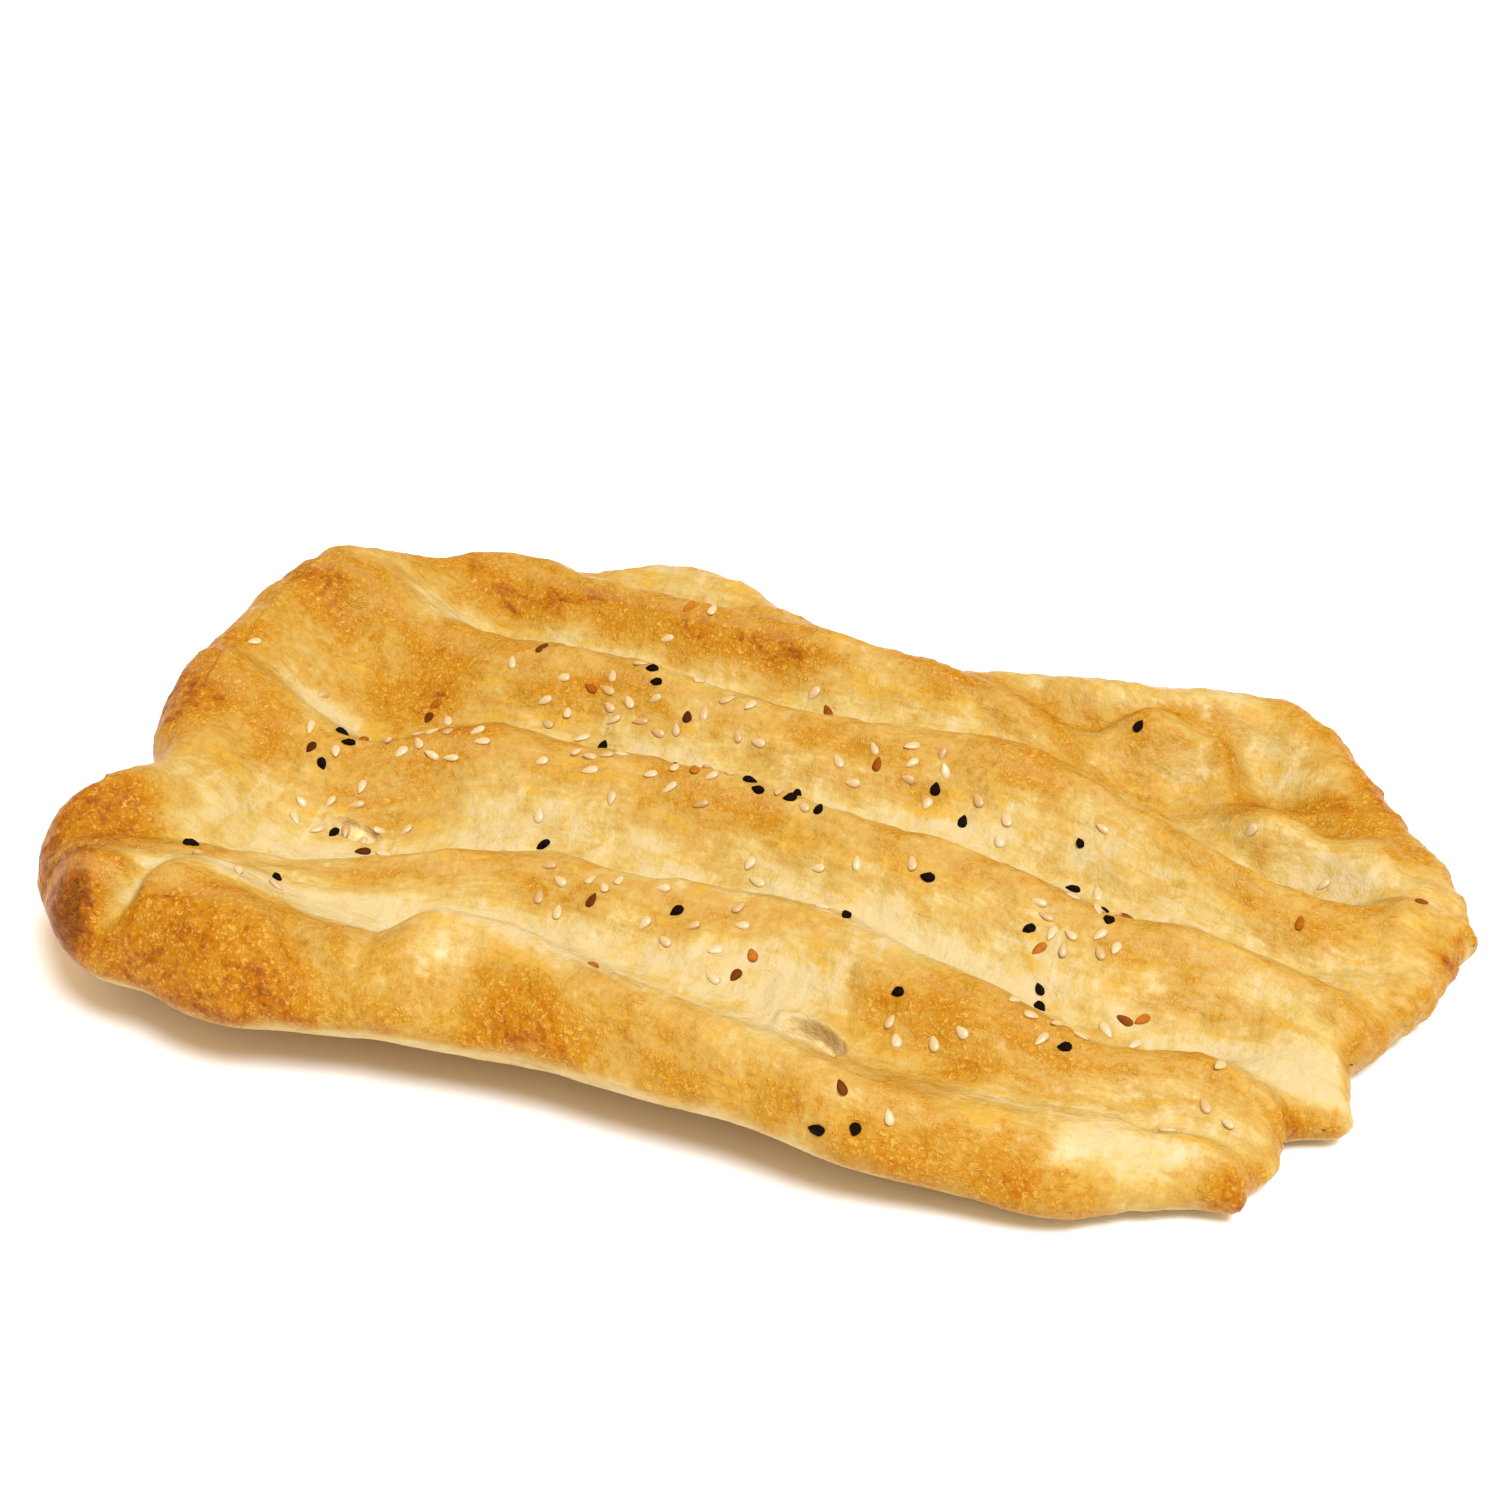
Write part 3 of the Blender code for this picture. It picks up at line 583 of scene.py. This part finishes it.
color = ramp(tree, calc(tree, "MULTIPLY", toast, 0.8), (0.0, "#B19F72"), (0.15, "#AE9655"),
             (0.27, "#A78844"), (0.40, "#A47E34"), (0.51, "#A47822"), (0.64, "#A46F0A"),
             (0.74, "#9A5C00"), (0.84, "#804000"), (1.0, "#5A2702"))

# Glaze pooled here and there in the valleys dries to a clear yellow.
pooled = band(tree, mottle(tree, flow, (12, 5, 12), 3.0, 0.55, 0.9), 0.52, 0.68)
golden = calc(tree, "MULTIPLY", band(tree, toast, 0.06, 0.28), band(tree, toast, 0.62, 0.40))
pooled = calc(tree, "MULTIPLY", pooled, golden)
color = blend(tree, "MIX", calc(tree, "MULTIPLY", pooled, 0.55), color, linear("#B38A1C"))

# Tiny blisters on the browned skin, paler than the crust between them.
cells = add(tree, "TexVoronoi", {"Vector": spot, "Scale": 1.0, "Randomness": 0.9}).outputs["Distance"]
gaps = calc(tree, "MULTIPLY", band(tree, cells, 0.35, 0.62), band(tree, toast, 0.44, 0.72))
color = blend(tree, "MIX", calc(tree, "MULTIPLY", gaps, 0.34), color, linear("#8C5700"))
dots = calc(tree, "MULTIPLY", band(tree, cells, 0.50, 0.16), band(tree, speck, 0.42, 0.66))
grit = band(tree, mottle(tree, spot, (1.1, 1.1, 1.1), 2.5, 0.65, 0.8), 0.50, 0.64, 0.0, 0.75)
dots = calc(tree, "MAXIMUM", dots, grit)
dots = calc(tree, "MULTIPLY", dots, band(tree, toast, 0.40, 0.72, 0.15, 1.0))
dots = calc(tree, "MULTIPLY", dots, band(tree, toast, 0.85, 1.15, 1.0, 0.3))
color = blend(tree, "MIX", calc(tree, "MULTIPLY", dots, 0.52), color, linear("#CDA246"))
streak = calc(tree, "MULTIPLY", band(tree, pulls, 0.48, 0.72), band(tree, toast, 0.36, 0.12))
color = blend(tree, "MIX", calc(tree, "MULTIPLY", streak, 0.4), color, linear("#BDAE89"))
# Painted sheen: each crest gets a pale tan band for the light glancing off it, broken by fine lines.
across = add(tree, "SeparateXYZ", {"Vector": flow}).outputs["Y"]
across = calc(tree, "ADD", across, calc(tree, "MULTIPLY", cloud, 5.0))
across = calc(tree, "PINGPONG", across, RIDGE_STEP / 2)
painted_crest_sheen = calc(tree, "MULTIPLY", band(tree, across, 2.8, 0.6), band(tree, crest, 0.5, 0.9))
painted_crest_sheen = calc(tree, "MULTIPLY", painted_crest_sheen, band(tree, lines, 0.3, 0.6, 0.35, 1.0))
color = blend(tree, "MIX", calc(tree, "MULTIPLY", painted_crest_sheen, 0.32), color, linear("#AE8A4E"))
# The raw lower edge, and the crumb inside the tears.
dough = ramp(tree, mottle(tree, spot, (3.5, 3.5, 1.6), 5.0, 0.62), (0.30, "#9A8048"), (0.42, "#B89F62"),
             (0.60, "#C2AA70"), (0.75, "#B69048"))
color = blend(tree, "MIX", calc(tree, "MULTIPLY", raw, 0.75), color, dough)
crumb = ramp(tree, pulls, (0.3, "#B0935A"), (0.65, "#D2BC88"))
color = blend(tree, "MIX", torn, color, crumb)

height = calc(tree, "MULTIPLY", fine, 0.30)
height = calc(tree, "ADD", height, calc(tree, "MULTIPLY", dots, 0.20))
height = calc(tree, "ADD", height, calc(tree, "MULTIPLY", calc(tree, "MULTIPLY", lines, crest), 0.22))
height = calc(tree, "ADD", height, calc(tree, "MULTIPLY", pulls, 0.04))
height = calc(tree, "ADD", height, calc(tree, "MULTIPLY", mottle(tree, spot, (5, 5, 5), 4.0, 0.55), 1.1))
bump = bumps(tree, height, 1.0, 1.0)
tree.links.new(color, shader.inputs["Base Color"])
tree.links.new(bump, shader.inputs["Normal"])
tree.links.new(band(tree, fine, 0.3, 0.7, 0.28, 0.50), shader.inputs["Roughness"])
shader.inputs["IOR"].default_value = 1.45
shader.inputs["Specular IOR Level"].default_value = 0.12
shader.inputs["Subsurface Weight"].default_value = 0.04
shader.inputs["Subsurface Radius"].default_value = (1.0, 0.65, 0.35)
shader.inputs["Subsurface Scale"].default_value = 1.2 * MM
glaze = band(tree, mottle(tree, flow, (9, 6, 10), 4.0, 0.6, 0.5), 0.48, 0.66, 0.0, 0.30)
glaze = calc(tree, "MULTIPLY", glaze, band(tree, toast, 0.50, 0.26, 0.12, 1.0))
tree.links.new(glaze, shader.inputs["Coat Weight"])
shader.inputs["Coat Roughness"].default_value = 0.24
shader.inputs["Coat IOR"].default_value = 1.4
crust_mesh.materials.append(baked)
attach(crust, "root")
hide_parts("bread")

# ----------------------------------------------------------------------------------------------------
# White sesame. The real seeds are hulled, flat teardrops about 3.2 mm long, baked onto the glaze.
# Each is a shaped ball laid on the crust where the sprinkling hand let it fall.

# Where the seeds fell, as the solid has them: x, y, half length, half width, then how many white sesame,
# toasted sesame and nigella.
SPRINKLES = (
    (-73, -1, 14, 4, 12, 2, 0), (-88, -9, 8, 7, 3, 1, 3), (-80, -22, 12, 5, 10, 1, 1),
    (-78, 20, 4, 3, 1, 2, 0), (-87, -57, 12, 5, 3, 0, 2), (-50, 24, 9, 9, 8, 1, 1),
    (-36, 28, 8, 9, 8, 0, 2), (-66, 34, 3, 3, 1, 1, 0), (-20, 24, 10, 6, 5, 1, 0),
    (-37, -1, 12, 6, 8, 0, 0), (-15, 3, 11, 9, 6, 1, 4), (6, 0, 7, 3, 3, 0, 3),
    (18, 20, 12, 6, 9, 1, 1), (38, 14, 6, 5, 3, 0, 1), (-45, -15, 4, 4, 1, 0, 1),
    (-24, -41, 10, 7, 7, 1, 0), (-3, -40, 10, 6, 7, 0, 1), (10, -18, 14, 7, 6, 0, 0),
    (20, -28, 4, 4, 1, 0, 1), (5, -47, 5, 5, 1, 2, 0), (34, -14, 4, 4, 1, 0, 1),
    (61, -5, 9, 10, 7, 1, 3), (63, -17, 9, 5, 6, 1, 1), (62, -31, 3, 3, 0, 0, 2),
    (75, -31, 4, 3, 2, 2, 0), (45, -52, 8, 5, 4, 0, 1), (66, -48, 8, 5, 6, 0, 1),
    (38, -79, 8, 4, 1, 1, 2), (-12, -64, 4, 3, 1, 1, 0), (59, 49, 3, 3, 0, 0, 1),
    (58, 16, 4, 3, 1, 0, 1), (-43, 57, 4, 4, 1, 1, 0), (-4, 42, 5, 5, 2, 1, 0),
    (101, 5, 3, 3, 0, 1, 0), (124, 15, 3, 3, 0, 1, 0), (96, -50, 9, 8, 4, 0, 0),
    (92, 30, 24, 14, 3, 0, 0), (-112, 28, 10, 16, 2, 0, 0), (-38, 64, 20, 8, 1, 0, 0),
)
KINDS = ("white_sesame", "brown_sesame", "nigella")
SPRINKLE_SEED = 7
# Seeds lie no closer than this, in mm.
SEED_GAP = 2.9
# How far a seed's middle is over the crust, as a share of its thickness, and how sizes and tilts vary.
SEED_OVER = 0.05
SIZE_VARIES = 0.07
TILT_VARIES = (0.12, 0.10)
# Height in metres that is clear of the bread, from where the seeds are dropped.
CLEAR = 0.1
# Length, width and thickness of a seed in mm.
SESAME = (3.2, 1.8, 1.0)


def sprinkle():
    """Places of the seeds: kind, x, y and turn, no two closer than the gap."""
    rng = np.random.default_rng(SPRINKLE_SEED)
    seeds = []
    for cx, cy, long, short, *counts in SPRINKLES:
        for kind, count in zip(KINDS, counts):
            placed = 0
            while placed < count:
                x = cx + long * rng.uniform(-1, 1)
                y = cy + short * rng.uniform(-1, 1)
                turn = rng.uniform(0, math.pi)
                if all(math.hypot(x - s[1], y - s[2]) > SEED_GAP for s in seeds):
                    seeds.append((kind, x, y, turn))
                    placed += 1
    return seeds


def scatter(kind, size, form, seed):
    """One mesh with every seed of a kind, each a little different in size, tilt and tint."""
    rng = np.random.default_rng(seed)
    bm = bmesh.new()
    bmesh.ops.create_uvsphere(bm, u_segments=18, v_segments=12, radius=0.5)
    bmesh.ops.rotate(bm, verts=bm.verts, matrix=Matrix.Rotation(math.pi / 2, 3, "Y"))
    ball = bpy.data.meshes.new("ball")
    bm.to_mesh(ball)
    bm.clear()
    tint = bm.verts.layers.float.new("tint")
    # Each vertex also keeps how near it is to the seed's edge, for painted shade where a seed meets the
    # crust.
    rim = bm.verts.layers.float.new("rim")
    for name, x, y, turn in sprinkle():
        if name != kind:
            continue
        start = Vector(((x + shift.x) * MM, (y + shift.y) * MM, CLEAR))
        spot, normal, _, _ = crust_skin.ray_cast(start, Vector((0, 0, -1)))
        grown = np.array(size) * rng.normal(1, SIZE_VARIES, 3).clip(0.85, 1.15)
        tilt = Matrix.Rotation(rng.normal(0, TILT_VARIES[0]), 4, "X")
        tilt = tilt @ Matrix.Rotation(rng.normal(0, TILT_VARIES[1]), 4, "Y")
        flat = normal.to_track_quat("Z", "X").to_matrix().to_4x4()
        lain = Matrix.Translation(spot + normal * SEED_OVER * grown[2] * MM)
        place = lain @ flat @ Matrix.Rotation(turn, 4, "Z") @ tilt
        shade = rng.uniform()
        before = len(bm.verts)
        bm.from_mesh(ball)
        bm.verts.ensure_lookup_table()
        for vert in bm.verts[before:]:
            vert[rim] = 1 - 2 * abs(vert.co.z)
            vert.co = place @ (Vector(form(vert.co, shade) * grown) * MM)
            vert[tint] = shade
    bmesh.ops.recalc_face_normals(bm, faces=bm.faces)
    mesh = bpy.data.meshes.new(kind)
    bm.to_mesh(mesh)
    bm.free()
    bpy.data.meshes.remove(ball)
    mesh.shade_smooth()
    heap = bpy.data.objects.new(kind, mesh)
    bpy.context.scene.collection.objects.link(heap)
    return heap


def teardrop(co, shade):
    """Flat seed, rounded at one end and pointed at the other."""
    along_x = 2 * co.x
    narrow = (1 - 0.30 * along_x) * (1 - 0.25 * max(along_x, 0) ** 3)
    return np.array((co.x, co.y * narrow, co.z * narrow * (0.95 + 0.1 * shade)))


white_sesame = scatter("white_sesame", SESAME, teardrop, seed=11)
# Hulled sesame: ivory, smooth and slightly see-through.
ivory, tree, shader = new_material("white_sesame")
tint = stored(tree, "tint")
spot = place_in_mm(tree)
color = ramp(tree, tint, (0.0, "#B8A37A"), (0.6, "#B2996B"), (0.85, "#AC8A56"), (1.0, "#A0783E"))
cloudy = calc(tree, "MULTIPLY", mottle(tree, spot, (1.1, 1.1, 1.1), 2.0), 0.3)
color = blend(tree, "MIX", cloudy, color, linear("#BCA984"))
# Painted shade: the edge of each seed, where it sits down in the crust, is painted darker brown.
rim = stored(tree, "rim")
color = blend(tree, "MIX", band(tree, rim, 0.45, 0.95, 0.0, 0.6), color, linear("#9A6C34"))
tree.links.new(color, shader.inputs["Base Color"])
bump = bumps(tree, mottle(tree, spot, (0.5, 0.5, 0.5), 1.0), 0.6, 0.05)
tree.links.new(bump, shader.inputs["Normal"])
shader.inputs["Roughness"].default_value = 0.38
shader.inputs["Subsurface Weight"].default_value = 0.25
shader.inputs["Subsurface Radius"].default_value = (1.0, 0.7, 0.4)
shader.inputs["Subsurface Scale"].default_value = 0.8 * MM
white_sesame.data.materials.append(ivory)
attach(white_sesame, "root")

# ----------------------------------------------------------------------------------------------------
# Toasted sesame. The real seeds are unhulled sesame of the same form, browned more or less by the oven.
# They are laid by the same rule, from light orange-brown to dark.

brown_sesame = scatter("brown_sesame", SESAME, teardrop, seed=12)
# Unhulled sesame: orange-brown to dark brown, dull skin with faint wrinkles.
toasted, tree, shader = new_material("brown_sesame")
tint = stored(tree, "tint")
spot = place_in_mm(tree)
color = ramp(tree, tint, (0.0, "#A8661A"), (0.35, "#8A4808"), (0.7, "#602D02"), (1.0, "#361802"))
worn = ramp(tree, mottle(tree, spot, (0.7, 0.7, 0.7)), (0.3, "#B09878"), (0.7, "#FFFFFF"))
color = blend(tree, "MULTIPLY", 0.5, color, worn)
tree.links.new(color, shader.inputs["Base Color"])
bump = bumps(tree, mottle(tree, spot, (0.35, 0.35, 0.35), 2.0), 0.8, 0.08)
tree.links.new(bump, shader.inputs["Normal"])
shader.inputs["Roughness"].default_value = 0.55
shader.inputs["Specular IOR Level"].default_value = 0.05
brown_sesame.data.materials.append(toasted)
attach(brown_sesame, "root")

# ----------------------------------------------------------------------------------------------------
# Nigella. The real seeds are matte black, angular and wrinkled, under 3 mm long with a pointed tip.
# Each is a ball drawn to three soft edges and a tip, with its skin crumpled.

# Length, width and thickness of a seed in mm.
NIGELLA = (2.8, 1.75, 1.55)


def angular(co, shade):
    """Three-edged seed with a pointed tip and a crumpled skin."""
    along_x = 2 * co.x
    around = math.atan2(co.z, co.y) + 6 * shade
    narrow = (1 - 0.22 * along_x) * (1 - 0.35 * max(along_x, 0) ** 2) * (1 + 0.11 * math.cos(3 * around))
    crumple = 1 + 0.22 * noise.noise(Vector((co.x * 5, co.y * 6, co.z * 6 + 9 * shade)))
    return np.array((co.x, co.y * narrow * crumple, co.z * narrow * crumple))


nigella = scatter("nigella", NIGELLA, angular, seed=13)
# Nigella hull: near black, dry and dull.
black, tree, shader = new_material("nigella")
spot = place_in_mm(tree)
color = ramp(tree, mottle(tree, spot, (0.5, 0.5, 0.5), 3.0), (0.3, "#080301"), (0.7, "#170A04"))
tree.links.new(color, shader.inputs["Base Color"])
bump = bumps(tree, mottle(tree, spot, (0.22, 0.22, 0.22), 2.0), 1.0, 0.12)
tree.links.new(bump, shader.inputs["Normal"])
shader.inputs["Roughness"].default_value = 0.6
shader.inputs["Specular IOR Level"].default_value = 0.03
nigella.data.materials.append(black)
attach(nigella, "root")

# ----------------------------------------------------------------------------------------------------
# Table, light and camera. The photograph was taken on a white sweep in soft light. The table is a plain
# white plane, one broad soft light hangs high in front on the right, and a warm sky fills in. The camera
# looks down by 34 degrees.

bm = bmesh.new()
bmesh.ops.create_grid(bm, x_segments=1, y_segments=1, size=6)
floor_mesh = bpy.data.meshes.new("table")
bm.to_mesh(floor_mesh)
bm.free()
table = bpy.data.objects.new("table", floor_mesh)
table.location.z = -0.2 * MM
bpy.context.scene.collection.objects.link(table)
# White laminate: matte.
white, tree, shader = new_material("white_laminate")
shader.inputs["Base Color"].default_value = linear("#F7F7F7")
shader.inputs["Roughness"].default_value = 0.9
floor_mesh.materials.append(white)

softbox = bpy.data.lights.new("softbox", "AREA")
softbox.shape = "DISK"
softbox.size = 1.8
softbox.energy = 214
softbox.color = linear("#EAF4FF")[:3]
lamp = bpy.data.objects.new("softbox", softbox)
lamp.location = (1.2, -1.0, 3.15)
lamp.rotation_euler = (-Vector(lamp.location)).to_track_quat("-Z", "Y").to_euler()
bpy.context.scene.collection.objects.link(lamp)

world = bpy.data.worlds.new("studio")
world.use_nodes = True
world.node_tree.nodes["Background"].inputs["Color"].default_value = linear("#FFDCB6")
world.node_tree.nodes["Background"].inputs["Strength"].default_value = 0.98
bpy.context.scene.world = world
bpy.context.scene.view_settings.view_transform = "Standard"

lens = bpy.data.cameras.new("camera")
lens.lens = 73.92
lens.sensor_width = 36
camera = bpy.data.objects.new("camera", lens)
camera.location = (0.1481, -0.4622, 0.3624)
camera.rotation_euler = (math.radians(56), 0, math.radians(18.5))
bpy.context.scene.collection.objects.link(camera)
bpy.context.scene.camera = camera
